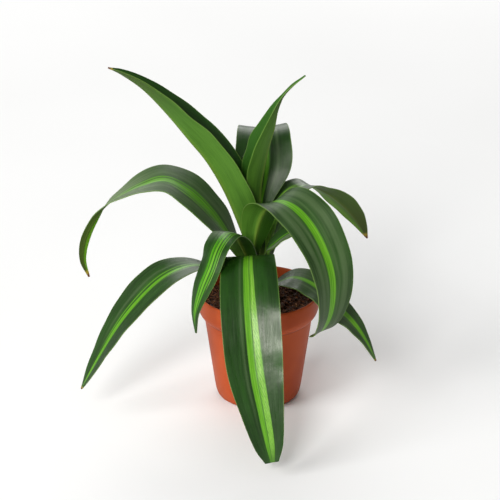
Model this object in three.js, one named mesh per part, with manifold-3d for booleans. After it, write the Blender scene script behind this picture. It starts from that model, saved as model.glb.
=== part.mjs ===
// A young striped dracaena in a round terracotta-coloured nursery pot.
// Millimetres, +Z up. The origin is the centre of the pot's flat underside.
// -Y is the side with the broad hanging leaf.
import * as THREE from 'three';
import { mergeVertices } from 'three/addons/utils/BufferGeometryUtils.js';
import Module from 'manifold-3d';

const wasm = await Module();
wasm.setup();

// ---- driving dimensions -------------------------------------------------
const POT_SIDES = 48;
const RIM_RADIUS = 52.5;      // a 105 mm pot
const POT_HEIGHT = 98;
const FLOOR = 2.4;            // thickness of the pot's floor
const DRAIN_RADIUS = 3.2;
const DRAIN_CIRCLE = 22;
const DRAINS = 6;
const GAP = 0.35;             // clearance between touching pieces
const SOIL_TOP = 87;
const STEM_RADIUS = 6.8;
const STEM_TOP = 124;
const STEM_FOOT = 72;         // depth to which the cane is planted
const STEM_SIDES = 20;
const BLADE = 0.8;            // thickness of a leaf
const ACROSS = 6;             // facets across a leaf
const ALONG = 26;             // facets along a leaf

// ---- helpers ------------------------------------------------------------
const deg = Math.PI / 180;
const clamp = THREE.MathUtils.clamp;
const smooth = (x) => THREE.MathUtils.smoothstep(x, 0, 1);

function closed(geometry) {
  // merges shared corners, drops triangles that have no area, and turns the faces outward
  geometry.deleteAttribute('normal');
  geometry.deleteAttribute('uv');
  const merged = mergeVertices(geometry, 1e-4);
  const index = [...merged.index.array];
  const kept = [];
  const a = new THREE.Vector3(), b = new THREE.Vector3(), c = new THREE.Vector3();
  const place = merged.getAttribute('position');
  let volume = 0;
  for (let i = 0; i < index.length; i += 3) {
    const [p, q, r] = index.slice(i, i + 3);
    if (p === q || q === r || r === p) continue;
    kept.push(p, q, r);
    a.fromBufferAttribute(place, p);
    b.fromBufferAttribute(place, q);
    c.fromBufferAttribute(place, r);
    volume += a.dot(b.cross(c));
  }
  if (volume < 0) for (let i = 0; i < kept.length; i += 3) [kept[i], kept[i + 1]] = [kept[i + 1], kept[i]];
  merged.setIndex(kept);
  return merged;
}

function lathe(profile, sides) {
  const points = profile.map(([r, z]) => new THREE.Vector2(r, z));
  return closed(new THREE.LatheGeometry(points, sides).rotateX(Math.PI / 2));
}

function toSolid(geometry) {
  return new wasm.Manifold(new wasm.Mesh({
    numProp: 3,
    vertProperties: new Float32Array(geometry.getAttribute('position').array),
    triVerts: new Uint32Array(geometry.index.array),
  }));
}

function fromSolid(solid) {
  const mesh = solid.getMesh();
  const geometry = new THREE.BufferGeometry();
  geometry.setAttribute('position', new THREE.BufferAttribute(new Float32Array(mesh.vertProperties), 3));
  geometry.setIndex([...mesh.triVerts]);
  return geometry;
}

function named(name, geometry, colour, roughness) {
  geometry.computeVertexNormals();
  const mesh = new THREE.Mesh(geometry, new THREE.MeshStandardMaterial({ color: colour, roughness, metalness: 0 }));
  mesh.name = name;
  return mesh;
}

const group = new THREE.Group();

// ---- pot ------------------------------------------------------------------
// radius and height up the outside: rounded foot, tapered body, step, curved shoulder, upright collar
const potOutside = [
  [32.6, 0], [34.6, 0.9], [36.1, 3], [37.3, 6.5], [46.6, 75], [47.4, 75.4],
  [49.6, 77.6], [51.3, 80.6], [52.1, 84.2], [52.4, 94.6], [RIM_RADIUS, 96.4], [52.2, 97.6],
];
const potInside = [
  [50.2, 94], [49.9, 84.6], [48.4, 80.4], [46.1, 77], [44.6, 73.6], [35.8, 8], [34.6, 4.6], [32.4, FLOOR],
];
const potShell = lathe(
  [[0, 0], ...potOutside, [51.4, POT_HEIGHT], [50.7, 97.3], ...potInside, [0, FLOOR]], POT_SIDES);
let pot = toSolid(potShell);
for (let i = 0; i < DRAINS; i++) {
  const turn = (i + 0.5) / DRAINS * 2 * Math.PI;
  const drain = new THREE.CylinderGeometry(DRAIN_RADIUS, DRAIN_RADIUS, 8, 16)
    .rotateX(Math.PI / 2)
    .translate(DRAIN_CIRCLE * Math.cos(turn), DRAIN_CIRCLE * Math.sin(turn), 1);
  pot = pot.subtract(toSolid(closed(drain)));
}
group.add(named('pot', fromSolid(pot), 0xbf5b3a, 0.6));

// ---- soil -----------------------------------------------------------------
// fills the pot to about 11 mm below the rim, with a plain hole for the cane
function lumps(x, y) {
  return 0.9 * Math.sin(0.23 * x + 1.1) * Math.cos(0.19 * y - 0.4)
    + 0.7 * Math.sin(0.47 * x - 0.31 * y + 2.0)
    + 0.5 * Math.cos(0.71 * y + 0.38 * x)
    + 0.4 * Math.sin(1.13 * x + 0.9) * Math.sin(0.97 * y);
}
const potWallAt = (z) => {
  for (let i = 1; i < potInside.length; i++) {
    const [r1, z1] = potInside[i - 1], [r2, z2] = potInside[i];
    if (z <= z1 && z >= z2) return r1 + (r2 - r1) * (z1 - z) / (z1 - z2);
  }
  return potInside[0][0];
};
const soilFoot = FLOOR + GAP;
const soilHole = STEM_RADIUS + GAP + 0.05;
const soilSide = [soilFoot + 2.2, 8, 42, 73.6, 77, 80.4, 84.4].map((z) => [potWallAt(z) - GAP - 0.1, z]);
const soilRings = [49.2, 46, 41.5, 36.5, 31, 25.5, 20, 15, 11].map((r) => [r, SOIL_TOP]);
const soil = lathe([
  [0, soilFoot], [32.2, soilFoot], ...soilSide, ...soilRings,
  [soilHole, SOIL_TOP], [soilHole, STEM_FOOT - GAP], [0, STEM_FOOT - GAP]], POT_SIDES);
const soilPlace = soil.getAttribute('position');
for (let i = 0; i < soilPlace.count; i++) {
  const x = soilPlace.getX(i), y = soilPlace.getY(i), z = soilPlace.getZ(i);
  const r = Math.hypot(x, y);
  if (z > SOIL_TOP - 0.5 && r < 49.6) {
    const heap = 1.6 * Math.exp(-(((r - 9) / 9) ** 2));
    soilPlace.setZ(i, z + heap + lumps(x, y) * smooth((r - 6) / 8) * smooth((52 - r) / 5));
  }
}
group.add(named('soil', soil, 0x2b1b12, 0.95));

// ---- cane -----------------------------------------------------------------
// short cane ringed with the scars of shed leaves
const cane = [[0, STEM_FOOT], [5.6, STEM_FOOT], [6.4, 73.4]];
for (let z = 80; z < 116; z += 5.2) cane.push([6.45, z], [STEM_RADIUS, z + 3.9], [6.55, z + 4.6]);
cane.push([5.6, 120.6], [3.6, 122.8], [0, STEM_TOP]);
group.add(named('stem', lathe(cane, STEM_SIDES), 0x6f7a44, 0.7));

// ---- leaves ---------------------------------------------------------------
// Each row is one station from the clasping base to the tip:
// x, y, z of the midrib, half the leaf's width, then roll about the midrib and fold of each half, in degrees.
// heading: the compass turn in which the leaf leaves the cane, 0 towards -Y and 90 towards +X.
// cup: how far each half curls up over its width; opens: the share of the length over which the clasp opens.
const leaves = {
  leaf_front_broad: {
    heading: 2, cup: 2, opens: 0.16, rows: [
      [0, -7.7, 97, 5, 0, 0], [-2, -14, 118, 7, 0, 8], [-5.5, -27, 138, 17, 2, 3], [-8, -54, 151.4, 21.3, 2, -3],
      [-7.9, -85, 139, 23.6, 1, 3], [-6, -107, 113, 24, 0, 6], [-3, -122, 82, 22.6, 0, 8],
      [2.8, -134, 52, 17.5, 0, 7], [7.8, -143, 27, 12, 0, 5], [10.4, -148, 14, 5.6, 0, 0]],
  },
  leaf_front_right: {
    heading: 45, cup: 8, opens: 0.16, rows: [
      [0.6, -7.9, 117, 3.4, -40, 0], [-3.1, -10.4, 135, 3.6, -36, 10], [-2.4, -13, 153.6, 11.5, -36, 15],
      [2.6, -15.2, 173, 17, -24, 13], [12, -20, 187, 19, 3, 6], [26, -31, 189, 21.5, 15, 4],
      [41, -44, 179, 22, 20, 6], [53, -55, 160.5, 21, 17, 7], [60, -62, 138, 19.3, 12, 6],
      [60, -65, 112, 16.5, 5, 6], [54, -61, 91, 12, 0, 4], [43, -52, 79, 1.5, -10, 0]],
  },
  leaf_upper_left: {
    heading: 272, cup: 16, opens: 0.2, rows: [
      [-7.7, 1, 117, 4.2, -10, 0], [-10.5, 0, 140, 11, 0, 46], [-17, -1, 161, 21, 0, 58], [-28.5, -2, 190, 25.3, -3, 57],
      [-42.5, -3, 216, 25.5, -4, 56], [-57.5, -4, 236, 23.8, -4, 55], [-76, -5, 260, 17.6, -4, 52],
      [-94, -6, 280, 10.8, -3, 48], [-111, -7, 293, 5.2, 0, 40], [-122, -8, 299, 0.8, 0, 20]],
  },
  leaf_centre: {
    heading: 108, cup: 32, opens: 0.2, rows: [
      [0.5, 0, 124.9, 3.5, 0, 0], [0.8, 0.5, 149, 7.5, 0, 55], [1, 1, 172, 12, 0, 60], [2.4, 1, 197, 17.5, 0, 56],
      [7.3, 0, 224, 18.5, 0, 52], [12.6, 0, 244, 14.5, 0, 48], [15.6, 0, 260, 7.5, 0, 45], [20.5, 0, 272, 2.8, 0, 40],
      [28.5, 0, 281.5, 2.2, 0, 25], [38, 0, 290, 0.8, 0, 0]],
  },
  leaf_back: {
    heading: 178, cup: 6, opens: 0.2, rows: [
      [-0.7, 7.8, 117, 4.2, 6, 0], [-1.2, 11.5, 143, 4.6, 0, 10], [1.4, 16.5, 172, 10, 0, 10], [4.5, 27, 200, 23.5, 0, 6],
      [4.4, 44, 218, 23.5, -4, 6], [3.5, 67, 221, 21, -4, 6], [3, 90, 208, 17, 0, 5],
      [3, 106, 186, 11, 0, 5], [3, 112, 166, 1, 0, 0]],
  },
  leaf_left_arch: {
    heading: 278, cup: -5, opens: 0.2, rows: [
      [-8, 0.3, 102, 4.2, -10, 0], [-14.4, 1.8, 124, 5.8, -5, 10], [-26, 1.4, 147, 17.3, -20, 12], [-42, -1, 171.5, 23.5, -22, 9],
      [-59, -3, 190.5, 24.5, -20, 5], [-78, -5, 201.5, 20.5, -14, 4], [-98, -7, 196.5, 15.5, -8, 10],
      [-116, -10, 188, 9, -2, 10], [-127, -12, 180.5, 4.6, 18, 10], [-137, -13, 168, 3.8, 62, 10],
      [-145.5, -13.5, 150, 3.9, 82, 8], [-148, -13.5, 132, 2.8, 84, 8], [-143.5, -13, 116, 0.8, 80, 0]],
  },
  leaf_left_low: {
    heading: 289, cup: 0, opens: 0.2, rows: [
      [-7.6, -2.7, 94, 5, 0, 0], [-18, -7, 109, 7, 5, 8], [-36, -12, 122, 11, 8, 5], [-53, -18, 129, 14, 2, 4],
      [-71, -25, 127, 18.5, -6, 6], [-88, -31, 117, 21, -8, 8], [-105, -37, 100, 20, -8, 9],
      [-119, -41, 82, 16.5, -8, 9], [-131, -45, 63, 12, -8, 8], [-142, -49, 44, 7, -8, 6],
      [-150, -51, 29, 0.8, -8, 0]],
  },
  leaf_front_left: {
    heading: 325, cup: -16, opens: 0.15, rows: [
      [-6.4, -4.8, 113, 4, -16, 0], [-8.6, -13.6, 130.4, 8.4, 10, 4], [-14.2, -22.2, 148.7, 12, 14, 2], [-20.5, -30, 162.5, 13.5, 4, 2],
      [-28, -42.5, 168.6, 14.3, 7, -3], [-35.6, -57.5, 162.6, 14.6, 16, -3], [-41, -67.5, 148.4, 12.6, 14, -5],
      [-47.4, -70.5, 131.6, 9.3, 5, -6], [-52.2, -71.5, 111.2, 4.4, 5, -6], [-51.6, -71.5, 91.8, 0.8, 5, 0]],
  },
  leaf_right_back: {
    heading: 125, cup: 8, opens: 0.2, rows: [
      [6.3, 4.9, 114, 3.8, 0, 0], [9.4, 9, 133, 7.4, 12, 10], [14.6, 13.8, 156.5, 14, 18, 12], [25.7, 18.7, 176.6, 17, -2, 10],
      [39.8, 25.7, 183.8, 14.6, -6, 6], [53, 33, 177, 12, -14, 6], [66, 40, 166, 14.5, -26, 8],
      [79, 47, 151, 12.5, -28, 8], [89, 52, 136, 7, -28, 6], [96, 56, 122, 0.8, -20, 0]],
  },
  leaf_right: {
    heading: 64, cup: 6, opens: 0.2, rows: [
      [6.9, -4.6, 112, 3.6, 0, 0], [6.2, -9.2, 136, 5, 14, 6], [13.7, -12, 146.5, 9, 27, 8], [24.5, -14, 156.2, 11, 24, 8],
      [37.5, -15.5, 163.5, 11.5, 21, 6], [50, -17, 162, 10.5, 12, 5], [59.5, -20, 149, 8.5, 0, 6], [65.5, -22.5, 132, 4.5, 0, 6],
      [68, -23, 117, 0.8, 0, 0]],
  },
  leaf_right_low: {
    heading: 65, cup: 2, opens: 0.2, rows: [
      [7.3, -3.4, 94, 5, 0, 0], [16, -8, 107, 8.5, 8, 8], [29, -14, 115, 14, 12, 2], [43, -20, 113, 16, 10, 2],
      [57, -27, 104, 16.5, 8, 4], [69, -32, 93, 14.5, 8, 4], [80, -37, 83, 11, 8, 4],
      [90, -42, 70, 6, 8, 4], [99, -46, 53, 0.8, 8, 0]],
  },
};

function station(rows, s) {
  // smooth curve through the rows, for all six columns at once
  const last = rows.length - 1;
  const at = (i) => (i < 0 ? rows[0].map((v, k) => 2 * v - rows[1][k])
    : i > last ? rows[last].map((v, k) => 2 * v - rows[last - 1][k]) : rows[i]);
  const i = Math.min(Math.floor(s), last - 1), f = s - i;
  const [a, b, c, d] = [at(i - 1), at(i), at(i + 1), at(i + 2)];
  return b.map((v, k) => 0.5 * (2 * v + (c[k] - a[k]) * f + (2 * a[k] - 5 * v + 4 * c[k] - d[k]) * f * f
    + (3 * v - a[k] - 3 * c[k] + d[k]) * f ** 3));
}

function bladeSurface({ heading, cup, opens, rows }) {
  // returns a function of (share of the length, -1 to 1 across) giving a point of the leaf's middle surface
  const last = rows.length - 1;
  const point = (s) => new THREE.Vector3(...station(rows, clamp(s, 0, last - 1e-9)));
  const steps = 240;
  const lengths = [0];
  for (let i = 1; i <= steps; i++) {
    lengths.push(lengths[i - 1] + point(i / steps * last).distanceTo(point((i - 1) / steps * last)));
  }
  const alongTo = (t) => {
    const want = t * lengths[steps];
    let i = 1;
    while (i < steps && lengths[i] < want) i++;
    return (i - 1 + (want - lengths[i - 1]) / (lengths[i] - lengths[i - 1])) / steps * last;
  };
  const level = new THREE.Vector3(Math.cos(heading * deg), Math.sin(heading * deg), 0);
  return (t, u) => {
    const s = alongTo(t);
    const [x, y, z, width, roll, fold] = station(rows, clamp(s, 0, last - 1e-9));
    const run = point(s + 1e-3).sub(point(s - 1e-3)).normalize();
    const side = level.clone().addScaledVector(run, -level.dot(run)).normalize();
    const up = run.clone().cross(side);
    const turned = side.clone().multiplyScalar(Math.cos(roll * deg)).addScaledVector(up, Math.sin(roll * deg));
    const raised = up.multiplyScalar(Math.cos(roll * deg)).addScaledVector(side, -Math.sin(roll * deg));
    const half = Math.max(width, 0.4);
    const clasp = 1 - smooth(t / opens);
    let curl = Math.min(half / Math.max(Math.hypot(x, y), 6), 1.5) * clasp + cup * deg * (1 - clasp) * (1 - t / 2);
    if (Math.abs(curl) < 1e-3) curl = 1e-3;
    const crease = fold * deg * (1 - clasp);
    const turn = crease + curl * Math.abs(u);
    return new THREE.Vector3(x, y, z)
      .addScaledVector(turned, Math.sign(u) * half / curl * (Math.sin(turn) - Math.sin(crease)))
      .addScaledVector(raised, half / curl * (Math.cos(crease) - Math.cos(turn)));
  };
}

function blade(leaf) {
  // a thin closed sheet: both faces carry the same triangles, joined round the edge
  const surface = bladeSurface(leaf);
  const sheet = new THREE.PlaneGeometry(2, 1, ACROSS, ALONG);
  const place = sheet.getAttribute('position');
  const count = place.count;
  const corners = new Float32Array(count * 6);
  const step = 0.004;
  for (let i = 0; i < count; i++) {
    const u = place.getX(i), t = 0.5 - place.getY(i);
    const middle = surface(t, u);
    const alongRun = surface(Math.min(t + step, 1), u).sub(surface(Math.max(t - step, 0), u));
    const acrossRun = surface(t, Math.min(u + 0.1, 1)).sub(surface(t, Math.max(u - 0.1, -1)));
    const out = alongRun.cross(acrossRun).normalize().multiplyScalar(BLADE / 2);
    middle.clone().add(out).toArray(corners, i * 3);
    middle.clone().sub(out).toArray(corners, (count + i) * 3);
  }
  const index = [];
  const faces = sheet.index.array;
  for (let i = 0; i < faces.length; i += 3) {
    index.push(faces[i], faces[i + 1], faces[i + 2]);
    index.push(count + faces[i], count + faces[i + 2], count + faces[i + 1]);
  }
  const row = ACROSS + 1;
  const border = [];
  for (let i = 0; i < ALONG; i++) border.push(i * row);
  for (let i = 0; i < ACROSS; i++) border.push(ALONG * row + i);
  for (let i = ALONG; i > 0; i--) border.push(i * row + ACROSS);
  for (let i = ACROSS; i > 0; i--) border.push(i);
  border.forEach((a, i) => {
    const b = border[(i + 1) % border.length];
    index.push(a, count + a, b, b, count + a, count + b);
  });
  const geometry = new THREE.BufferGeometry();
  geometry.setAttribute('position', new THREE.BufferAttribute(corners, 3));
  geometry.setIndex(index);
  return closed(geometry);
}

for (const [name, leaf] of Object.entries(leaves)) {
  group.add(named(name, blade(leaf), 0x3f7a2c, 0.4));
}

export default group;
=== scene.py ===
import math
import random

import bmesh
import bpy
import numpy as np
from mathutils import Matrix, Vector, noise


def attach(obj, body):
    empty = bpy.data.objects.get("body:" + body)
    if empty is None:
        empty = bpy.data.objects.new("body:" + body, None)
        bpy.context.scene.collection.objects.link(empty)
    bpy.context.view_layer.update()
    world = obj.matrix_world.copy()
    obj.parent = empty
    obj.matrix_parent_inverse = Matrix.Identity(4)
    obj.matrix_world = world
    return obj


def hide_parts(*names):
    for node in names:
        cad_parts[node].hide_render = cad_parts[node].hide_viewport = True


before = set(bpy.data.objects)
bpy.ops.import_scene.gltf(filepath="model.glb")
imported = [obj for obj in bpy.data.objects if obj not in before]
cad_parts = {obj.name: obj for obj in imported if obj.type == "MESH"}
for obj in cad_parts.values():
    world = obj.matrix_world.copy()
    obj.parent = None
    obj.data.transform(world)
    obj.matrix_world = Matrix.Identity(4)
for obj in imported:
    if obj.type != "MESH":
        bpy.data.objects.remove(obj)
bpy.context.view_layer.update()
mm = 0.001
print("frame loaded,", len(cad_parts), "nodes")


def linear(level):
    # one channel of a colour picked on screen, 0 to 255, as the shader's own linear value
    if level < 11:
        return level / 255 / 12.92
    return ((level / 255 + 0.055) / 1.055) ** 2.4


def rgb(red, green, blue):
    return linear(red), linear(green), linear(blue), 1.0


def softStep(x):
    # 0 up to 0, 1 from 1 on and a soft climb between, for a number or an array
    x = np.clip(x, 0, 1)
    return x * x * (3 - 2 * x)


class Value:
    # wraps a node's socket, so that shader maths reads as plain arithmetic
    def __init__(self, tree, socket=None):
        self.tree = tree
        self.socket = socket

    def make(self, kind, settings=None, inputs=None, output=0):
        # adds a node with its settings, and values or links in its sockets
        node = self.tree.nodes.new(kind)
        for name, setting in (settings or {}).items():
            setattr(node, name, setting)
        for name, given in (inputs or {}).items():
            if isinstance(given, Value):
                self.tree.links.new(given.socket, node.inputs[name])
            else:
                node.inputs[name].default_value = given
        return Value(self.tree, node.outputs[output])

    def maths(self, operation, *given):
        return self.make("ShaderNodeMath", {"operation": operation}, dict(enumerate(given)))

    def __add__(self, other):
        return self.maths("ADD", self, other)

    def __sub__(self, other):
        return self.maths("SUBTRACT", self, other)

    def __rsub__(self, other):
        return self.maths("SUBTRACT", other, self)

    def __mul__(self, other):
        return self.maths("MULTIPLY", self, other)

    def __abs__(self):
        return self.maths("ABSOLUTE", self)

    __radd__, __rmul__ = __add__, __mul__

    def rise(self, low, high, least=0.0, most=1.0):
        # climbs smoothly from least to most as the value goes from low to high
        return self.make("ShaderNodeMapRange", {"interpolation_type": "SMOOTHSTEP"},
                         {"Value": self, "From Min": low, "From Max": high, "To Min": least, "To Max": most})

    def blend(self, first, second):
        # first colour where the value is 0, second where it is 1
        return self.make("ShaderNodeMix", {"data_type": "RGBA"}, {0: self, 6: first, 7: second}, 2)

    def objectPlace(self):
        return self.make("ShaderNodeTexCoord", None, None, 3)

    def part(self, which):
        return self.make("ShaderNodeSeparateXYZ", None, {0: self}, which)

    def joined(self, second, third):
        return self.make("ShaderNodeCombineXYZ", None, {0: self, 1: second, 2: third})

    def grain(self, scale, detail=2.0, rough=0.5):
        # soft noise at this place, as a value near 0.5
        return self.make("ShaderNodeTexNoise", None,
                         {"Vector": self, "Scale": scale, "Detail": detail, "Roughness": rough})


def newFinish(name, fixed):
    # a material with its fixed sockets set; returns it, its shader and a blank value to start from
    material = bpy.data.materials.new(name)
    material.use_nodes = True
    shader = material.node_tree.nodes["Principled BSDF"]
    for socket, setting in fixed.items():
        shader.inputs[socket].default_value = setting
    return material, shader, Value(material.node_tree)


def connect(shader, sockets):
    for name, value in sockets.items():
        value.tree.links.new(value.socket, shader.inputs[name])


def bumped(height, strength, distance):
    return height.make("ShaderNodeBump", None, {"Height": height, "Strength": strength, "Distance": distance})


def newPiece(name, form, *finishes, slot=None, smooth=40):
    # a bmesh in metres becomes a piece; with a slot it rides on the plant's only body
    mesh = bpy.data.meshes.new(name)
    form.to_mesh(mesh)
    form.free()
    piece = bpy.data.objects.new(name, mesh)
    bpy.context.scene.collection.objects.link(piece)
    for finish in finishes:
        mesh.materials.append(finish)
    mesh.shade_smooth()
    if smooth:
        mesh.set_sharp_from_angle(angle=math.radians(smooth))
    if slot:
        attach(piece, "root")
    return piece


def settle(piece, smooth):
    # makes the modifiers' result the piece's own mesh
    graph = bpy.context.evaluated_depsgraph_get()
    mesh = bpy.data.meshes.new_from_object(piece.evaluated_get(graph))
    piece.modifiers.clear()
    piece.data = mesh
    mesh.shade_smooth()
    mesh.set_sharp_from_angle(angle=math.radians(smooth))


def ring(form, profile, steps):
    # turns a profile of (radius, height) in millimetres once round the pot's axis
    points = [form.verts.new((r * mm, 0, z * mm)) for r, z in profile]
    edges = [form.edges.new(pair) for pair in zip(points, points[1:])]
    bmesh.ops.spin(form, geom=points + edges, cent=(0, 0, 0), axis=(0, 0, 1), angle=2 * math.pi,
                   steps=steps, use_merge=True)
    bmesh.ops.remove_doubles(form, verts=form.verts, dist=1e-6)
    bmesh.ops.recalc_face_normals(form, faces=form.faces)


# pot: its profiles are (radius, height) in millimetres, and the shadow line is a painted shadow under the
# collar's step
pot = {
    "outside": [(0, 0), (16, 0), (28, 0), (32.6, 0), (34.6, 0.9), (36.1, 3), (37.3, 6.5), (39.4, 22),
                (43.2, 50), (46.5, 74.4), (46.75, 75.15), (47.5, 75.5), (49.5, 77.5), (51.3, 80.6),
                (52.05, 84.2), (52.4, 94.6), (52.5, 96.6), (52.1, 97.7)],
    "inside": [(51.4, 98), (50.8, 97.5), (50.3, 96), (50.1, 92), (49.9, 84.6), (48.4, 80.4), (46.1, 77),
               (44.6, 73.6), (40, 40), (35.8, 8), (34.6, 4.6), (32.4, 2.4), (16, 2.4), (0, 2.4)],
    "steps": 64, "levels": 2, "shadowLine": 75.2,
    "drains": 6, "drainRadius": 3.2, "drainCircle": 22, "drainDepth": 8,
    "colour": rgb(180, 79, 38), "shaded": rgb(168, 70, 33), "dust": rgb(152, 80, 50),
    "stepShadow": rgb(104, 44, 24),
}


def potFinish():
    finish, shader, start = newFinish("pot plastic", {"Specular IOR Level": 0.12, "IOR": 1.46})
    place = start.objectPlace()
    height = place.part(2)
    cloud = place.grain(24, 3)
    speck = place.grain(1500, 2)
    flow = (place.part(0) * 60).joined(place.part(1) * 60, height * 900).grain(1, 2)  # faint mould rings
    colour = cloud.rise(0.35, 0.7).blend(pot["colour"], pot["shaded"])
    foot = (height + (cloud - 0.5) * 0.02).rise(0.022, 0.0, 0.0, 0.35)
    colour = foot.blend(colour, pot["dust"])
    # painted shadow: a thin dark ring under the collar's step
    fromLine = abs(height - pot["shadowLine"] * mm) + (cloud - 0.5) * 0.0004
    colour = fromLine.rise(0.0009, 0.0002, 0, 0.85).blend(colour, pot["stepShadow"])
    smear = place.grain(55, 4, 0.6).rise(0.6, 0.75, 0.0, 0.15) * height.rise(0.07, 0.09)
    colour = smear.blend(colour, pot["dust"])
    connect(shader, {
        "Base Color": colour,
        "Roughness": cloud * 0.12 + speck * 0.06 + 0.36 + foot * 0.2,
        "Normal": bumped(speck * 0.35 + flow * 0.5, 0.25, 0.0003),
    })
    return finish


def makePot():
    form = bmesh.new()
    ring(form, pot["outside"] + pot["inside"], pot["steps"])
    piece = newPiece("nurseryPot", form, potFinish(), slot="pot_plastic")
    rounding = piece.modifiers.new("round", "SUBSURF")
    rounding.levels = rounding.render_levels = pot["levels"]
    radius, circle = pot["drainRadius"] * mm, pot["drainCircle"] * mm
    cutters = bmesh.new()
    for i in range(pot["drains"]):
        turn = (i + 0.5) / pot["drains"] * 2 * math.pi
        at = Vector((circle * math.cos(turn), circle * math.sin(turn), mm))
        bmesh.ops.create_cone(cutters, cap_ends=True, segments=32, radius1=radius, radius2=radius,
                              depth=pot["drainDepth"] * mm, matrix=Matrix.Translation(at))
    cutter = newPiece("drainCutter", cutters)
    drill = piece.modifiers.new("drill", "BOOLEAN")
    drill.object = cutter
    drill.solver = "EXACT"
    settle(piece, 35)
    bpy.data.objects.remove(cutter)
    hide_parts("pot")
    print("pot made,", len(piece.data.polygons), "faces")


# soil: the bed in millimetres, then how many loose bits lie on it, between which radii
soil = {
    "side": [(0, 2.75), (32, 2.75), (34.4, 5), (35.4, 8), (39.6, 42), (44.1, 73.6), (45.6, 77), (47.9, 80.4)],
    "radius": 49.3, "brim": 84.4, "top": 87, "rings": 50, "ringGap": 0.85, "steps": 150,
    "hole": 7.1, "holeFloor": 71.65,
    "crumbs": 3600, "chips": 520, "fibres": 420, "handful": 200, "seed": 11,
    "nearest": 8.4, "furthest": 48.2,
    "dark": rgb(48, 28, 17), "brown": rgb(88, 51, 30), "red": rgb(134, 76, 40), "pale": rgb(184, 132, 84),
}


def lumps(x, y):
    # the lumpy top of the soil, in millimetres above its level
    r = math.hypot(x, y)
    mound = 1.6 * math.exp(-(((r - 9) / 9) ** 2))
    waves = (0.9 * math.sin(0.23 * x + 1.1) * math.cos(0.19 * y - 0.4)
             + 0.7 * math.sin(0.47 * x - 0.31 * y + 2)
             + 0.5 * math.cos(0.71 * y + 0.38 * x)
             + 0.4 * math.sin(1.13 * x + 0.9) * math.sin(0.97 * y))
    return mound + waves * softStep((r - 6) / 8) * softStep((52 - r) / 5)


def soilFinish(name, first, second, third, bump=0.6):
    finish, shader, start = newFinish(name, {"Specular IOR Level": 0.25})
    place = start.objectPlace()
    patch = place.grain(260, 3, 0.6)
    fleck = place.grain(1300, 3, 0.65)
    colour = patch.rise(0.4, 0.62).blend(first, second)
    colour = fleck.rise(0.56, 0.68, 0.0, 0.8).blend(colour, third)
    connect(shader, {
        "Base Color": colour,
        "Roughness": patch.rise(0.3, 0.7, 0.72, 0.95),
        "Normal": bumped(fleck + place.grain(3200, 2) * 0.4, bump, 0.0008),
    })
    return finish


def makeSoil():
    form = bmesh.new()
    top, edge, hole, floor = soil["top"], soil["radius"], soil["hole"], soil["holeFloor"]
    rings = [(edge - 0.4 - i * soil["ringGap"], top) for i in range(soil["rings"])]
    profile = soil["side"] + [(edge, soil["brim"])] + rings + [(hole, top), (hole, floor), (0, floor)]
    ring(form, profile, soil["steps"])
    for v in form.verts:
        x, y, z = v.co / mm
        r = math.hypot(x, y)
        if z > top - 0.5 and r < edge:
            rough = noise.fractal(Vector((x, y, 3)) * 0.55, 1, 2, 3) * 0.9
            v.co.z += (lumps(x, y) + rough * min((r - 7) / 3, 1) - 0.4) * mm
    finish = soilFinish("damp peat", soil["dark"], soil["brown"], soil["red"], 0.9)
    bed = newPiece("soilBed", form, finish, slot="potting_soil", smooth=60)
    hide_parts("soil")
    print("soil bed made")


def scatter(name, count, seed, shape, finish):
    # many small seeded shapes laid flat over the soil, then lifted onto its lumps
    dice = random.Random(seed)
    whole = bmesh.new()
    for done in range(0, count, soil["handful"]):
        part = bmesh.new()
        for _ in range(min(soil["handful"], count - done)):
            r = math.sqrt(dice.uniform(soil["nearest"] ** 2, soil["furthest"] ** 2))
            turn = dice.uniform(0, 2 * math.pi)
            shape(part, dice, Vector((r * math.cos(turn), r * math.sin(turn), 0)))
        handful = bpy.data.meshes.new("handful")
        part.to_mesh(handful)
        part.free()
        whole.from_mesh(handful)
        bpy.data.meshes.remove(handful)
    for v in whole.verts:
        v.co.z += soil["top"] + lumps(v.co.x, v.co.y) - 0.2
        v.co *= mm
    piece = newPiece(name, whole, finish, slot="potting_soil", smooth=None)
    print(name, "made,", len(piece.data.polygons), "faces")


def lifted(at, height):
    return Matrix.Translation(at + Vector((0, 0, height)))


def anyWay(dice):
    return Vector((dice.uniform(-1, 1), dice.uniform(-1, 1), dice.uniform(-1, 1)))


def crumb(part, dice, at):
    size = 0.35 + 1.5 * dice.random() ** 2.6
    place = lifted(at, dice.uniform(-0.1, 0.55) * size)
    turn = Matrix.Rotation(dice.uniform(0, 6.3), 4, (dice.uniform(-1, 1), dice.uniform(-1, 1), 1))
    stretch = Matrix.Diagonal((size * dice.uniform(0.7, 1.6), size * dice.uniform(0.7, 1.2),
                               size * dice.uniform(0.5, 1), 1))
    made = bmesh.ops.create_icosphere(part, subdivisions=1, radius=1, matrix=place @ turn @ stretch)
    for v in made["verts"]:
        v.co += anyWay(dice) * size * 0.22


def chip(part, dice, at):
    long, wide = dice.uniform(1.2, 3.4), dice.uniform(0.5, 1.3)
    tilt = Matrix.Rotation(dice.uniform(-0.6, 0.6), 4, (dice.uniform(-1, 1), dice.uniform(-1, 1), 0.01))
    place = lifted(at, dice.uniform(0.3, 0.9)) @ tilt @ Matrix.Rotation(dice.uniform(0, 6.3), 4, "Z")
    stretch = Matrix.Diagonal((long, wide, dice.uniform(0.25, 0.5), 1))
    made = bmesh.ops.create_cube(part, size=1, matrix=place @ stretch)
    for v in made["verts"]:
        v.co += anyWay(dice) * 0.18


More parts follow.
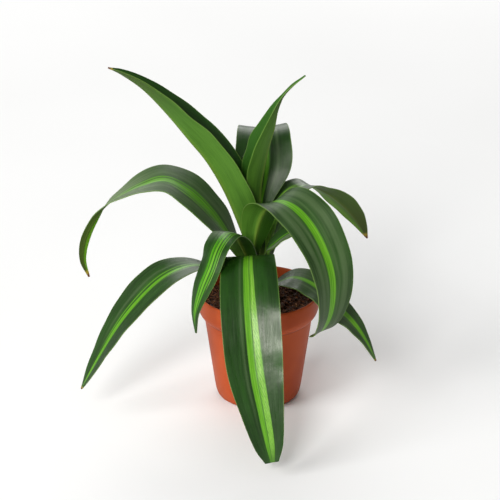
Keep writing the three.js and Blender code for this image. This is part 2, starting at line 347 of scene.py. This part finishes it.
def fibre(part, dice, at):
    long, thick = dice.uniform(1.5, 5.5), dice.uniform(0.1, 0.26)
    place = lifted(at, dice.uniform(0.5, 1.3)) @ Matrix.Rotation(dice.uniform(0, 6.3), 4, "Z")
    place = place @ Matrix.Rotation(math.pi / 2 + dice.uniform(-0.4, 0.4), 4, "Y")
    made = bmesh.ops.create_cone(part, cap_ends=True, segments=4, radius1=thick, radius2=thick * 0.5,
                                 depth=long, matrix=place)
    sag = abs(dice.uniform(-0.12, 0.12))
    for v in made["verts"]:
        v.co.z -= sag * (v.co - at).to_2d().length


# what each leaf is given:
# heading: the compass turn in which the leaf leaves the cane, 0 towards -Y and 90 towards +X
# cup: how far each half curls up over its width; opens: the share of the length over which the clasp opens
# ragged: how uneven the stripes' edges are; dry: how much of the length is dry at the tip
# rib: how bright the midrib is below; young: how far the upper face leans to light green
# greySheen: how far a painted grey sheen greys the upper face; shine, rough: gloss and unevenness
# shade: how dark one half is below; underPaintedLight: how far painted shade turns the underside's dim half
# olive and painted light brightens its lit half
# lit: which half of the underside catches the light, 1 or -1
# stripes: place across (-1 to 1) at base and tip, half width at base and tip, start, end, kind
# stations: x, y, z of the midrib and half the width in millimetres, then roll and fold in degrees
leaves = {
    "leafFrontBroad": {
        "node": "leaf_front_broad", "heading": 2, "cup": 2, "opens": 0.16, "seed": 4,
        "ragged": 0.015, "dry": 0.0, "rib": 0.5, "young": 0, "greySheen": 0,
        "shine": 0.6, "rough": 0.3, "shade": 0, "underPaintedLight": 0, "lit": 1,
        "stripes": [
            (-0.11, -0.08, 0.1, 0.13, 0, 1, "bright"), (0, 0.24, 0.02, 0.18, 0, 1, "dashed"),
            (-0.31, -0.36, 0.02, 0.04, 0.1, 0.85, "soft")],
        "stations": [
            (0, -7.7, 97, 5, 0, 0), (-2, -14, 118, 7, 0, 8), (-5.5, -27, 138, 17, 2, 3),
            (-8, -54, 151.4, 21.3, 2, -3), (-7.9, -85, 139, 23.6, 1, 3), (-6, -107, 113, 24, 0, 6),
            (-3, -122, 82, 22.6, 0, 8), (2.8, -134, 52, 17.5, 0, 7), (7.8, -143, 27, 12, 0, 5),
            (10.4, -148, 14, 5.6, 0, 0)],
    },
    "leafFrontRight": {
        "node": "leaf_front_right", "heading": 45, "cup": 8, "opens": 0.16, "seed": 9,
        "ragged": 0.07, "dry": 0.0, "rib": 0.5, "young": 0, "greySheen": 0.36,
        "shine": 0.26, "rough": 0.35, "shade": 0.65, "underPaintedLight": 0, "lit": 1,
        "stripes": [
            (-0.03, -0.03, 0.11, 0.2, 0, 1, "bright"), (-0.36, -0.3, 0.07, 0.06, 0.25, 0.8, "soft"),
            (-0.62, -0.58, 0.12, 0.1, 0.2, 0.85, "soft"), (0.62, 0.6, 0.16, 0.12, 0.3, 0.9, "soft"),
            (0.3, 0.3, 0.03, 0.03, 0.4, 0.8, "soft")],
        "stations": [
            (0.6, -7.9, 117, 3.4, -40, 0), (-3.1, -10.4, 135, 3.6, -36, 10),
            (-2.4, -13, 153.6, 11.5, -36, 15), (2.6, -15.2, 173, 17, -24, 13), (12, -20, 187, 19, 3, 6),
            (26, -31, 189, 21.5, 15, 4), (41, -44, 179, 22, 20, 6), (53, -55, 160.5, 21, 17, 7),
            (60, -62, 138, 19.3, 12, 6), (60, -65, 112, 16.5, 5, 6), (54, -61, 91, 12, 0, 4),
            (43, -52, 79, 1.5, -10, 0)],
    },
    "leafUpperLeft": {
        "node": "leaf_upper_left", "heading": 272, "cup": 16, "opens": 0.2, "seed": 14,
        "ragged": 0.08, "dry": 0.01, "rib": 0.35, "young": 0, "greySheen": 0,
        "shine": 0.4, "rough": 0.6, "shade": 0, "underPaintedLight": 0, "lit": -1,
        "stripes": [
            (0, 0, 0.07, 0.08, 0, 0.9, "bright")],
        "stations": [
            (-7.7, 1, 117, 4.2, -10, 0), (-10.5, 0, 140, 11, 0, 46), (-17, -1, 161, 21, 0, 58),
            (-28.5, -2, 190, 25.3, -3, 57), (-42.5, -3, 216, 25.5, -4, 56), (-57.5, -4, 236, 23.8, -4, 55),
            (-76, -5, 260, 17.6, -4, 52), (-94, -6, 280, 10.8, -3, 48), (-111, -7, 293, 5.2, 0, 40),
            (-122, -8, 299, 0.8, 0, 20)],
    },
    "leafCentre": {
        "node": "leaf_centre", "heading": 108, "cup": 32, "opens": 0.2, "seed": 21,
        "ragged": 0.08, "dry": 0.0, "rib": 0.5, "young": 0.6, "greySheen": 0,
        "shine": 0.22, "rough": 0.6, "shade": 0, "underPaintedLight": 0.1, "lit": 1,
        "stripes": [
            (0, 0, 0.12, 0.1, 0, 0.85, "bright")],
        "stations": [
            (0.5, 0, 124.9, 3.5, 0, 0), (0.8, 0.5, 149, 7.5, 0, 55), (1, 1, 172, 12, 0, 60),
            (2.4, 1, 197, 17.5, 0, 56), (7.3, 0, 224, 18.5, 0, 52), (12.6, 0, 244, 14.5, 0, 48),
            (15.6, 0, 260, 7.5, 0, 45), (20.5, 0, 272, 2.8, 0, 40), (28.5, 0, 281.5, 2.2, 0, 25),
            (38, 0, 290, 0.8, 0, 0)],
    },
    "leafBack": {
        "node": "leaf_back", "heading": 178, "cup": 6, "opens": 0.2, "seed": 27,
        "ragged": 0.08, "dry": 0.008, "rib": 0.4, "young": 0, "greySheen": 0.05,
        "shine": 0.42, "rough": 0.6, "shade": 0, "underPaintedLight": 0.2, "lit": 1,
        "stripes": [
            (-0.12, -0.12, 0.08, 0.09, 0, 0.9, "bright"), (0.3, 0.3, 0.04, 0.03, 0.1, 0.7, "soft"),
            (-0.5, -0.5, 0.05, 0.04, 0.2, 0.7, "soft")],
        "stations": [
            (-0.7, 7.8, 117, 4.2, 6, 0), (-1.2, 11.5, 143, 4.6, 0, 10), (1.4, 16.5, 172, 10, 0, 10),
            (4.5, 27, 200, 23.5, 0, 6), (4.4, 44, 218, 23.5, -4, 6), (3.5, 67, 221, 21, -4, 6),
            (3, 90, 208, 17, 0, 5), (3, 106, 186, 11, 0, 5), (3, 112, 166, 1, 0, 0)],
    },
    "leafLeftArch": {
        "node": "leaf_left_arch", "heading": 278, "cup": -5, "opens": 0.2, "seed": 33,
        "ragged": 0.07, "dry": 0.014, "rib": 0.5, "young": 0.12, "greySheen": 0.6,
        "shine": 0.2, "rough": 0.2, "shade": 0, "underPaintedLight": 0.7, "lit": -1,
        "stripes": [
            (0.06, 0.05, 0.25, 0.05, 0, 0.8, "bright"), (-0.22, -0.13, 0.05, 0.04, 0.02, 0.72, "bright"),
            (0.34, 0.25, 0.04, 0.03, 0.02, 0.5, "bright"), (0.5, 0.5, 0.06, 0.05, 0.1, 0.7, "soft"),
            # the last band is a painted sheen over the blade's outer part
            (-0.45, -0.42, 0.08, 0.06, 0.1, 0.8, "soft"), (0, 0, 1.3, 1.3, 0.6, 1.2, "paintedSheen")],
        "stations": [
            (-8, 0.3, 102, 4.2, -10, 0), (-14.4, 1.8, 124, 5.8, -5, 10), (-26, 1.4, 147, 17.3, -20, 12),
            (-42, -1, 171.5, 23.5, -22, 9), (-59, -3, 190.5, 24.5, -20, 5), (-78, -5, 201.5, 20.5, -14, 4),
            (-98, -7, 196.5, 15.5, -8, 10), (-116, -10, 188, 9, -2, 10), (-127, -12, 180.5, 4.6, 18, 10),
            (-137, -13, 168, 3.8, 62, 10), (-145.5, -13.5, 150, 3.9, 82, 8), (-148, -13.5, 132, 2.8, 84, 8),
            (-143.5, -13, 116, 0.8, 80, 0)],
    },
    "leafLeftLow": {
        "node": "leaf_left_low", "heading": 289, "cup": 0, "opens": 0.2, "seed": 41,
        "ragged": 0.05, "dry": 0.006, "rib": 0.5, "young": 0, "greySheen": 0.12,
        "shine": 0.36, "rough": 0.6, "shade": 0, "underPaintedLight": 0.2, "lit": 1,
        "stripes": [
            (0.04, 0.04, 0.045, 0.18, 0.05, 1, "bright"), (-0.14, -0.2, 0.02, 0.04, 0.1, 0.8, "bright"),
            (0.2, 0.2, 0.025, 0.03, 0.05, 0.45, "bright"), (0.3, 0.3, 0.02, 0.02, 0.1, 0.4, "bright"),
            (-0.42, -0.42, 0.05, 0.04, 0.2, 0.75, "soft")],
        "stations": [
            (-7.6, -2.7, 94, 5, 0, 0), (-18, -7, 109, 7, 5, 8), (-36, -12, 122, 11, 8, 5),
            (-53, -18, 129, 14, 2, 4), (-71, -25, 127, 18.5, -6, 6), (-88, -31, 117, 21, -8, 8),
            (-105, -37, 100, 20, -8, 9), (-119, -41, 82, 16.5, -8, 9), (-131, -45, 63, 12, -8, 8),
            (-142, -49, 44, 7, -8, 6), (-150, -51, 29, 0.8, -8, 0)],
    },
    "leafFrontLeft": {
        "node": "leaf_front_left", "heading": 325, "cup": -16, "opens": 0.15, "seed": 48,
        "ragged": 0.05, "dry": 0.0, "rib": 0.9, "young": 0.05, "greySheen": 0,
        "shine": 0.36, "rough": 0.6, "shade": 0.75, "underPaintedLight": 0.2, "lit": 1,
        "stripes": [
            (0.25, -0.25, 0.04, 0.15, 0.05, 0.95, "vivid"), (0.4, 0.05, 0.05, 0.12, 0.05, 0.95, "bright"),
            (0.57, 0.32, 0.05, 0.1, 0.1, 0.9, "vivid"), (0.68, 0.52, 0.02, 0.05, 0.2, 0.75, "dashed"),
            # the last band is a painted sheen in a narrow band at the bend
            (-0.5, -0.5, 0.7, 0.7, 0.38, 0.42, "paintedSheen")],
        "stations": [
            (-6.4, -4.8, 113, 4, -16, 0), (-8.6, -13.6, 130.4, 8.4, 10, 4),
            (-14.2, -22.2, 148.7, 12, 14, 2), (-20.5, -30, 162.5, 13.5, 4, 2),
            (-28, -42.5, 168.6, 14.3, 7, -3), (-35.6, -57.5, 162.6, 14.6, 16, -3),
            (-41, -67.5, 148.4, 12.6, 14, -5), (-47.4, -70.5, 131.6, 9.3, 5, -6),
            (-52.2, -71.5, 111.2, 4.4, 5, -6), (-51.6, -71.5, 91.8, 0.8, 5, 0)],
    },
    "leafRightBack": {
        "node": "leaf_right_back", "heading": 125, "cup": 8, "opens": 0.2, "seed": 55,
        "ragged": 0.05, "dry": 0.02, "rib": 0.5, "young": 0, "greySheen": 0.4,
        "shine": 0.5, "rough": 0.6, "shade": 0, "underPaintedLight": 0.65, "lit": 1,
        "stripes": [
            (0.15, 0.1, 0.5, 0.05, 0, 0.45, "dashed"), (-0.05, 0, 0.06, 0.05, 0, 0.95, "bright"),
            (-0.45, -0.45, 0.07, 0.04, 0.1, 0.8, "soft")],
        "stations": [
            (6.3, 4.9, 114, 3.8, 0, 0), (9.4, 9, 133, 7.4, 12, 10), (14.6, 13.8, 156.5, 14, 18, 12),
            (25.7, 18.7, 176.6, 17, -2, 10), (39.8, 25.7, 183.8, 14.6, -6, 6), (53, 33, 177, 12, -14, 6),
            (66, 40, 166, 14.5, -26, 8), (79, 47, 151, 12.5, -28, 8), (89, 52, 136, 7, -28, 6),
            (96, 56, 122, 0.8, -20, 0)],
    },
    "leafRight": {
        "node": "leaf_right", "heading": 64, "cup": 6, "opens": 0.2, "seed": 62,
        "ragged": 0.05, "dry": 0.008, "rib": 0.5, "young": 0, "greySheen": 0.2,
        "shine": 0.2, "rough": 0.6, "shade": 0, "underPaintedLight": 0.3, "lit": 1,
        "stripes": [
            # the second band is a painted sheen along one half
            (0, 0, 0.08, 0.08, 0, 0.95, "bright"), (-0.58, -0.56, 0.34, 0.26, 0.05, 0.9, "paintedSheen"),
            (-0.35, -0.35, 0.02, 0.02, 0.1, 0.7, "bright")],
        "stations": [
            (6.9, -4.6, 112, 3.6, 0, 0), (6.2, -9.2, 136, 5, 14, 6), (13.7, -12, 146.5, 9, 27, 8),
            (24.5, -14, 156.2, 11, 24, 8), (37.5, -15.5, 163.5, 11.5, 21, 6), (50, -17, 162, 10.5, 12, 5),
            (59.5, -20, 149, 8.5, 0, 6), (65.5, -22.5, 132, 4.5, 0, 6), (68, -23, 117, 0.8, 0, 0)],
    },
    "leafRightLow": {
        "node": "leaf_right_low", "heading": 65, "cup": 2, "opens": 0.2, "seed": 69,
        "ragged": 0.04, "dry": 0.008, "rib": 0.5, "young": 0, "greySheen": 0.45,
        "shine": 0.4, "rough": 0.2, "shade": 0, "underPaintedLight": 0.3, "lit": 1,
        "stripes": [
            (0.05, 0.08, 0.08, 0.3, 0, 0.98, "bright"), (-0.35, -0.35, 0.05, 0.03, 0.1, 0.8, "soft")],
        "stations": [
            (7.3, -3.4, 94, 5, 0, 0), (16, -8, 107, 8.5, 8, 8), (29, -14, 115, 14, 12, 2),
            (43, -20, 113, 16, 10, 2), (57, -27, 104, 16.5, 8, 4), (69, -32, 93, 14.5, 8, 4),
            (80, -37, 83, 11, 8, 4), (90, -42, 70, 6, 8, 4), (99, -46, 53, 0.8, 8, 0)],
    },
}

# blade: the grid, wall and colours that all leaves share; thickness and rib in millimetres
blade = {
    "across": 32, "along": 150, "thickness": 0.7, "rib": 0.9, "ribWidth": 0.09, "crease": 0.07, "wave": 0.5,
    "deep": rgb(15, 45, 5), "green": rgb(29, 68, 14), "halo": rgb(56, 108, 27), "grey": rgb(84, 106, 68),
    # ash is the pale grey of the painted sheen bands
    "ash": rgb(140, 156, 122), "margin": rgb(120, 152, 68), "base": rgb(150, 172, 88),
    "bright": rgb(80, 144, 16), "lime": rgb(104, 164, 38), "pale": rgb(156, 196, 96),
    "vivid": rgb(50, 122, 2),
    "under": rgb(78, 121, 38), "underDark": rgb(54, 93, 24), "underShade": rgb(26, 62, 4),
    # the underside's olive here is painted shade, its bright green here painted light
    "underRib": rgb(116, 140, 50), "underPaintedShade": rgb(52, 62, 20), "underLit": rgb(96, 146, 22),
    "drying": rgb(146, 130, 44), "dry": rgb(92, 52, 24), "sheen": (1, 0.97, 0.89, 1),
}


def stationsAt(rows, s):
    # smooth curve through the stations
    padded = np.vstack([2 * rows[0] - rows[1], rows, 2 * rows[-1] - rows[-2]])
    i = np.minimum(np.floor(s).astype(int), len(rows) - 2)
    f = (s - i)[:, None]
    a, b, c, d = (padded[i + k] for k in range(4))
    bend, twist = 2 * a - 5 * b + 4 * c - d, 3 * b - a - 3 * c + d
    return 0.5 * (2 * b + (c - a) * f + bend * f ** 2 + twist * f ** 3)


def bladeFrame(leaf, t):
    # the midrib at shares t of the length: place, width, crease, curl and the two directions across the blade
    rows = np.array(leaf["stations"], float)
    last = len(rows) - 1
    tiny, near = 1e-9, 1e-3

    def at(s):
        return stationsAt(rows, np.clip(s, 0, last - tiny))

    fine = np.linspace(0, last, 241)
    strides = np.linalg.norm(np.diff(at(fine)[:, :3], axis=0), axis=1)
    lengths = np.concatenate([[0], np.cumsum(strides)])
    s = np.interp(t * lengths[-1], lengths, fine)
    here = at(s)
    run = at(s + near)[:, :3] - at(s - near)[:, :3]
    run /= np.linalg.norm(run, axis=1)[:, None]
    heading = math.radians(leaf["heading"])
    level = np.array([math.cos(heading), math.sin(heading), 0])
    side = level - run * (run @ level)[:, None]
    side /= np.linalg.norm(side, axis=1)[:, None]
    up = np.cross(run, side)
    roll = np.radians(here[:, 4:5])
    turned = side * np.cos(roll) + up * np.sin(roll)
    raised = up * np.cos(roll) - side * np.sin(roll)
    half = np.maximum(here[:, 3], 0.4)
    clasp = 1 - softStep(t / leaf["opens"])
    fromAxis = np.maximum(np.hypot(here[:, 0], here[:, 1]), 6)
    curl = np.minimum(half / fromAxis, 1.5) * clasp + math.radians(leaf["cup"]) * (1 - clasp) * (1 - t / 2)
    crease = np.radians(here[:, 5]) * (1 - clasp)
    return here[:, :3], half, crease, curl, turned, raised


def bladePoints(leaf):
    # points of the blade's middle surface, one row for each station along it
    nAcross, nAlong = blade["across"], blade["along"]
    t = np.linspace(0, 1, nAlong + 1)
    place, half, crease, curl, turned, raised = bladeFrame(leaf, t)
    steps = 5 * nAcross // 2
    u = np.linspace(0, 1, steps + 1)
    slope = crease[:, None] * softStep(u / blade["crease"] * 0.5 + 0.5 * (u > 0)) + curl[:, None] * u
    slope[:, 0] = 0
    middle = (slope[:, 1:] + slope[:, :-1]) / 2
    zero = np.zeros((len(t), 1))
    outward = np.hstack([zero, np.cumsum(np.cos(middle), axis=1)]) / steps
    upward = np.hstack([zero, np.cumsum(np.sin(middle), axis=1)]) / steps
    points = np.zeros((nAlong + 1, nAcross + 1, 3))
    for j in range(nAcross + 1):
        share = 2 * j / nAcross - 1
        k = round(abs(share) * steps)
        points[:, j] = (place + turned * (np.sign(share) * half * outward[:, k])[:, None]
                        + raised * (half * upward[:, k])[:, None])
    dice = random.Random(leaf["seed"])
    for sign in (-1, 1):  # each margin waves a little
        beats = [(dice.uniform(3, 9), dice.uniform(0, 6.3), dice.uniform(0.3, 1)) for _ in range(4)]
        wave = sum(size * np.sin(2 * math.pi * n * t + start) for n, start, size in beats) / 2
        wave *= softStep(t * 4) * softStep((1 - t) * 6) * blade["wave"] * np.minimum(half / 12, 1)
        for j in range(nAcross + 1):
            share = sign * (2 * j / nAcross - 1)
            if share > 0:
                points[:, j] += raised * (wave * share ** 2.5)[:, None]
    return points


class BladeGrain:
    # where a point lies on the blade, and the noises that both of its faces use
    def __init__(self, start, leaf):
        rows = np.array(leaf["stations"], float)
        self.length = float(np.linalg.norm(np.diff(rows[:, :3], axis=0), axis=1).sum())
        self.width = float(rows[:, 3].max())
        self.seed = leaf["seed"]
        place = start.make("ShaderNodeUVMap", {"uv_map": "blade"})
        self.across = place.part(0) * 2 - 1
        self.along = place.part(1)
        self.slow = self.streaks(9, 1.5, 0)
        self.fine = self.streaks(60, 2.5, 3)
        self.hair = self.streaks(240, 5, 7, 3)
        self.patch = self.streaks(30, 4, 29)
        self.wander = (self.streaks(2, 2, 11) - 0.5) * 0.06

    def streaks(self, thin, long, shift, detail=2.0):
        # noise drawn out along the leaf; thin and long are its lumps per 100 mm each way
        across = self.across * (thin * self.width / 100)
        return across.joined(self.along * (long * self.length / 100), self.seed + shift).grain(1, detail)


def dashes(grain):
    # short slanting dashes, firmer towards the tip
    slant = grain.along * (grain.length / 5) - grain.across * (grain.width / 1.9) + (grain.fine - 0.5) * 0.9
    dash = slant.maths("FRACT", slant).rise(0.3, 0.46, 1, 0) * grain.streaks(130, 20, 23).rise(0.4, 0.56)
    return dash * grain.along.rise(0.35, 0.6, 0.2, 1)


def underColour(leaf, grain):
    colour = grain.slow.rise(0.3, 0.7).blend(blade["underDark"], blade["under"])
    colour = (grain.hair.rise(0.42, 0.66) * 0.7).blend(colour, blade["underDark"])
    colour = (grain.fine.rise(0.4, 0.65) * 0.4).blend(colour, blade["under"])
    colour = (grain.across.rise(0.0, 0.35) * leaf["shade"]).blend(colour, blade["underShade"])
    rib = (abs(grain.across + grain.wander) + (grain.fine - 0.5) * 0.06).rise(0.2, 0.03)
    colour = (rib * leaf["rib"]).blend(colour, blade["underRib"])
    # painted shade: the half turned from the light goes olive, more so towards the tip; painted light: the
    # lit half brightens towards the tip
    facing = grain.across * leaf["lit"]
    dim = facing.rise(0.35, -0.1, 0.1, 1)
    colour = (grain.slow.rise(0.2, 0.8, 0.6, 1) * dim * leaf["underPaintedLight"]).blend(colour, blade["underPaintedShade"])
    outer = (grain.along + (grain.fine - 0.5) * 0.2).rise(0.66, 0.92)
    colour = (outer * dim * 0.6).blend(colour, blade["underPaintedShade"])
    glow = (facing + (grain.fine - 0.5) * 0.3).rise(0.15, 0.6) * grain.along.rise(0.4, 0.6)
    return (glow * leaf["underPaintedLight"]).blend(colour, blade["underLit"])


def upperColour(leaf, grain):
    colour = grain.slow.rise(0.3, 0.7).blend(blade["deep"], blade["green"])
    colour = (grain.fine.rise(0.45, 0.7) * 0.45).blend(colour, blade["green"])
    middle = (0.42 - abs(grain.across + grain.wander)).rise(0, 0.3) * grain.fine.rise(0.4, 0.65)
    colour = (middle * 0.5).blend(colour, blade["halo"])
    colour = (grain.hair.rise(0.5, 0.75) * 0.2 + leaf["young"]).blend(colour, blade["halo"])
    # painted sheen: grey patches laid over the upper face's green
    greySheen = grain.patch.rise(0.25, 0.75, 0.5, 1) * grain.fine.rise(0.35, 0.65, 0.7, 1.2) * leaf["greySheen"]
    colour = greySheen.blend(colour, blade["grey"])
    ragged = (grain.streaks(55, 2.2, 13) - 0.5) * leaf["ragged"]
    inner = grain.streaks(75, 1.6, 17).rise(0.38, 0.62)
    for centre, centreTip, half, halfTip, first, last, kind in leaf["stripes"]:
        offset = abs(grain.across - grain.along * (centreTip - centre) - centre + grain.wander)
        inside = grain.along * (halfTip - half) + half - offset + ragged
        # the pale grey kind of band is a painted sheen, the grey-green kind a faint streak of the leaf
        if kind in ("soft", "paintedSheen"):  # a faint broad band with no firm edge
            ends = grain.along.rise(first - 0.1, first + 0.1) * grain.along.rise(last + 0.1, last - 0.1)
            mask = inside.rise(-0.06, 0.08) * ends * 0.55
            if kind == "paintedSheen":
                mask = mask * grain.fine.rise(0.35, 0.65, 0.6, 1.4)
            colour = mask.blend(colour, blade["ash"] if kind == "paintedSheen" else blade["grey"])
            continue
        ends = grain.along.rise(first - 0.04, first + 0.06) * grain.along.rise(last + 0.05, last - 0.08)
        if kind == "dashed":
            pale = inner.rise(0.2, 1, 0, 0.6) * grain.along.rise(0.9, 0.6, 0.3, 1)
            tint = (dashes(grain) * 0.6).blend(pale.blend(blade["lime"], blade["pale"]), blade["halo"])
        else:
            tint = inner.blend(blade["bright"], blade["vivid"] if kind == "vivid" else blade["lime"])
        tint = (grain.hair.rise(0.54, 0.66) * 0.4).blend(tint, blade["halo"])
        tint = inside.rise(0.0, 0.05, 0.55, 0.0).blend(tint, blade["halo"])
        colour = (inside.rise(-0.012, 0.022) * ends).blend(colour, tint)
    # the painted grey sheen once more, laid over the stripes too
    return (greySheen * 0.22).blend(colour, blade["grey"])


def bladeFinish(name, leaf, under):
    # the upper face is dark with bright stripes, the underside plainer, lighter and less shiny
    shine = leaf["shine"] * (0.6 if under else 1)
    fixed = {"Specular IOR Level": shine, "Specular Tint": blade["sheen"], "IOR": 1.45}
    finish, shader, start = newFinish(name, fixed)
    grain = BladeGrain(start, leaf)
    colour = underColour(leaf, grain) if under else upperColour(leaf, grain)
    edge = (abs(grain.across) + (grain.fine - 0.5) * 0.02).rise(0.965, 0.99)
    colour = (edge * 0.4).blend(colour, blade["margin"])
    colour = (grain.along + (grain.fine - 0.5) * 0.03).rise(0.12, 0.0, 0, 0.8).blend(colour, blade["base"])
    dry = leaf["dry"]
    if dry:
        tip = grain.along + (grain.fine - 0.5) * dry
        colour = tip.rise(1 - dry * 2.2, 1 - dry * 1.2).blend(colour, blade["drying"])
        colour = tip.rise(1 - dry * 1.2, 1 - dry * 0.5).blend(colour, blade["dry"])
    pucker = start.objectPlace().grain(70, 2)
    relief = grain.hair * 0.2 + grain.fine * 0.24 + grain.patch * leaf["rough"] + pucker * 1.2
    connect(shader, {
        "Base Color": colour,
        "Roughness": grain.patch * 0.24 + grain.fine * 0.08 + (0.4 if under else 0.34 - 0.3 * leaf["shine"]),
        "Normal": bumped(relief, 0.3 if under else 0.45, 0.0007),
    })
    return finish


def makeLeaf(name, leaf):
    points = bladePoints(leaf) * mm
    nAcross, nAlong = blade["across"], blade["along"]
    form = bmesh.new()
    bmesh.ops.create_grid(form, x_segments=nAcross, y_segments=nAlong, size=1)
    uv = form.loops.layers.uv.new("blade")
    weight = form.verts.layers.deform.new()
    for face in form.faces:
        for loop in face.loops:
            loop[uv].uv = ((loop.vert.co.x + 1) / 2, (loop.vert.co.y + 1) / 2)
    for v in form.verts:
        u, t = v.co.x, (v.co.y + 1) / 2
        rib = math.exp(-((u / blade["ribWidth"]) ** 2)) * (1 - t) ** 0.8  # the midrib stands out below
        v[weight][0] = 0.05 + 0.95 * rib - 0.04 * abs(u) ** 4
        v.co = points[round(t * nAlong), round((u + 1) / 2 * nAcross)]
    bmesh.ops.reverse_faces(form, faces=form.faces)  # the first finish is the upper face's
    form.normal_update()
    for v in form.verts:
        v.co += v.normal * blade["thickness"] / 2 * mm
    upper, under = bladeFinish(name + " upper", leaf, False), bladeFinish(name + " under", leaf, True)
    piece = newPiece(name, form, upper, under, slot="leaf")
    group = piece.vertex_groups.new(name="rib")
    thickest = blade["thickness"] + blade["rib"]
    wall = piece.modifiers.new("wall", "SOLIDIFY")
    wall.thickness = thickest * mm
    wall.thickness_vertex_group = blade["thickness"] / thickest
    wall.vertex_group = group.name
    wall.offset = -1
    wall.material_offset = 1
    settle(piece, 50)
    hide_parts(leaf["node"])


# cane: heights in millimetres; a ring is the scar of an old leaf
cane = {
    "foot": 72, "top": 124, "firstRing": 80.0, "lastRing": 117, "pitch": 5.2, "steps": 56,
    "green": rgb(104, 122, 58), "brown": rgb(104, 84, 52), "scar": rgb(70, 56, 36),
}


def caneFinish():
    finish, shader, start = newFinish("ringed cane", {"Specular IOR Level": 0.3})
    place = start.objectPlace()
    height = place.part(2)
    fibreLine = (place.part(0) * 500).joined(place.part(1) * 500, height * 40).grain(1, 3)
    blotch = place.grain(160, 3)
    phase = height * (2 * math.pi / (cane["pitch"] * mm)) + blotch * 1.5
    rings = phase.maths("SINE", phase)
    colour = (height + (blotch - 0.5) * 0.03).rise(0.088, 0.11).blend(cane["brown"], cane["green"])
    colour = (rings.rise(0.75, 1) * 0.6).blend(colour, cane["scar"])
    colour = (fibreLine.rise(0.5, 0.7) * 0.35).blend(colour, cane["scar"])
    connect(shader, {
        "Base Color": colour,
        "Roughness": blotch * 0.2 + 0.5,
        "Normal": bumped(fibreLine + rings * 0.5, 0.4, 0.0004),
    })
    return finish


def makeCane():
    form = bmesh.new()
    profile = [(0, cane["foot"]), (5.6, cane["foot"]), (6.4, 73.4)]
    z = cane["firstRing"]
    while z < cane["lastRing"]:
        profile += [(6.35, z), (6.75, z + 3.4), (6.8, z + 3.9), (6.45, z + 4.5)]
        z += cane["pitch"]
    profile += [(5.6, 120.6), (3.6, 122.8), (0, cane["top"])]
    ring(form, profile, cane["steps"])
    for v in form.verts:
        turn = math.atan2(v.co.y, v.co.x)
        uneven = math.sin(3 * turn + v.co.z * 900) * min(v.co.xy.length / 0.006, 1)
        v.co.z += 0.5 * mm * uneven
    piece = newPiece("ringedCane", form, caneFinish(), slot="cane", smooth=60)
    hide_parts("stem")
    print("cane made")


# studio: camera and floor drop in millimetres; a lamp's place and size in metres, then its power
studio = {
    "floor": rgb(250, 250, 249), "floorShade": rgb(246, 246, 245), "floorSize": 8, "floorDrop": 0.3,
    "world": 0.2,
    "camera": (-7.2, -1374.5, 735.5), "pitch": 66.4, "lens": 127.15, "sensor": 36,
    "aim": (0, 0, 0.12),
    "lamps": {
        "key": ((-2.9, -1.7, 2.3), (2.0, 2.0), 84),
        "front": ((-1.0, -2.88, 1.95), (1.1, 1.4), 86),
        "back": ((0.2, 3.2, 2.0), (3.6, 2.2), 80),
    },
}


def softbox(name, place, size, power):
    lamp = bpy.data.lights.new(name, "AREA")
    lamp.shape = "RECTANGLE"
    lamp.size, lamp.size_y = size
    lamp.energy = power
    light = bpy.data.objects.new(name, lamp)
    light.location = place
    light.rotation_euler = (Vector(studio["aim"]) - Vector(place)).to_track_quat("-Z", "Y").to_euler()
    light.visible_camera = False
    bpy.context.scene.collection.objects.link(light)


def makeFloor():
    form = bmesh.new()
    bmesh.ops.create_grid(form, x_segments=1, y_segments=1, size=studio["floorSize"])
    bmesh.ops.translate(form, verts=form.verts, vec=(0, 0, -studio["floorDrop"] * mm))
    finish, shader, start = newFinish("pale floor", {"Specular IOR Level": 0.1, "Roughness": 0.9})
    cloud = start.objectPlace().grain(1.5, 2).rise(0.3, 0.7)
    connect(shader, {"Base Color": cloud.blend(studio["floor"], studio["floorShade"])})
    floor = newPiece("floor", form, finish)


def makeStudio():
    makeFloor()
    world = bpy.data.worlds.new("studio")
    bpy.context.scene.world = world
    world.use_nodes = True
    back = world.node_tree.nodes["Background"]
    back.inputs["Color"].default_value = (1, 1, 1, 1)
    back.inputs["Strength"].default_value = studio["world"]
    for name, (place, size, power) in studio["lamps"].items():
        softbox(name, place, size, power)
    camera = bpy.data.cameras.new("camera")
    camera.lens, camera.sensor_width = studio["lens"], studio["sensor"]
    camera.clip_start, camera.clip_end = 0.05, 40
    stand = bpy.data.objects.new("camera", camera)
    stand.location = Vector(studio["camera"]) * mm
    stand.rotation_euler = (math.radians(studio["pitch"]), 0, 0)
    bpy.context.scene.collection.objects.link(stand)
    bpy.context.scene.camera = stand
    bpy.context.scene.view_settings.view_transform = "Standard"
    print("studio set")


def looseBits():
    # crumbs, then chips and fibres on the soil, each with its own seed
    crumbFinish = soilFinish("peat crumbs", soil["dark"], soil["brown"], soil["red"])
    scatter("soilCrumbs", soil["crumbs"], soil["seed"], crumb, crumbFinish)
    chipFinish = soilFinish("bark", soil["brown"], soil["red"], soil["pale"], 0.4)
    scatter("barkChips", soil["chips"], soil["seed"] + 1, chip, chipFinish)
    fibreFinish = soilFinish("pale fibre", soil["red"], soil["pale"], soil["pale"], 0.2)
    scatter("peatFibres", soil["fibres"], soil["seed"] + 2, fibre, fibreFinish)


makePot()
makeSoil()
looseBits()
makeCane()
for leafName, leafData in leaves.items():
    makeLeaf(leafName, leafData)
print(len(leaves), "leaves made")
makeStudio()
